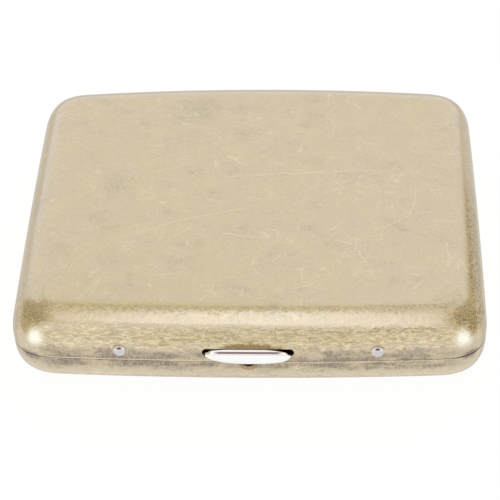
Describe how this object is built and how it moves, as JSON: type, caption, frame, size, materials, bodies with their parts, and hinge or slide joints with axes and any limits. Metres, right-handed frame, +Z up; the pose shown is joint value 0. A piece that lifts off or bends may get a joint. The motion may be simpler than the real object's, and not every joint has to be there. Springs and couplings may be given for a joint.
{
  "type": "cigarette case",
  "caption": "Flat hinged metal case with broadly rounded edges, a slotted front latch with a lens-shaped thumb-piece, and a sprung retainer arm in each half.",
  "frame": {"origin": "centre of the base's flat underside", "axes": "+X along the hinge to the right, -Y towards the thumb-piece, +Z up through the closed lid"},
  "size_m": [0.097, 0.0819, 0.0184],
  "materials": {
    "aged_brass": "antique satin brass with mottled patina and fine scratches",
    "bright_brass": "plain satin brass",
    "nickel": "polished nickel plate",
    "spring_steel": "plain spring steel",
    "copper_wash": "coppery raw metal"
  },
  "bodies": {
    "base": {"base_shell": "aged_brass", "catch_plate": "copper_wash", "hinge_leaf_base": "bright_brass", "hinge_pin": "spring_steel", "base_retainer_bracket": "bright_brass", "base_retainer_pin": "spring_steel"},
    "lid": {"lid_shell": "aged_brass", "hinge_leaf_lid": "bright_brass", "latch_spring": "spring_steel", "latch_rivet_left": "nickel", "latch_rivet_right": "nickel", "lid_retainer_bracket": "bright_brass", "lid_retainer_pin": "spring_steel"},
    "latch": {"thumb_piece": "nickel", "latch_hook": "spring_steel", "latch_stud": "nickel"},
    "base_retainer": {"base_retainer_arm": "bright_brass", "base_retainer_spring": "spring_steel"},
    "lid_retainer": {"lid_retainer_arm": "bright_brass", "lid_retainer_spring": "spring_steel"}
  },
  "joints": [
    {"name": "lid_hinge", "type": "hinge", "parent": "base", "child": "lid", "pos_m": [0, 0.03985, 0.0099], "axis": [-1, 0, 0], "range_deg": [0, 180]},
    {"name": "latch_press", "type": "slide", "parent": "lid", "child": "latch", "axis": [0, 1, 0], "range_m": [0, 0.0005], "stiffness_N_per_m": 1500, "springref_m": -0.0006, "deforming": ["latch_spring"]},
    {"name": "base_retainer_swing", "type": "hinge", "parent": "base", "child": "base_retainer", "pos_m": [0, 0.0299, 0.0045], "axis": [-1, 0, 0], "range_deg": [0, 7.2], "stiffness_Nm_per_rad": 0.03, "springref_deg": -34.38},
    {"name": "lid_retainer_swing", "type": "hinge", "parent": "lid", "child": "lid_retainer", "pos_m": [0, 0.02995, 0.01395], "axis": [1, 0, 0], "range_deg": [0, 7.2], "stiffness_Nm_per_rad": 0.03, "springref_deg": -34.38}
  ]
}
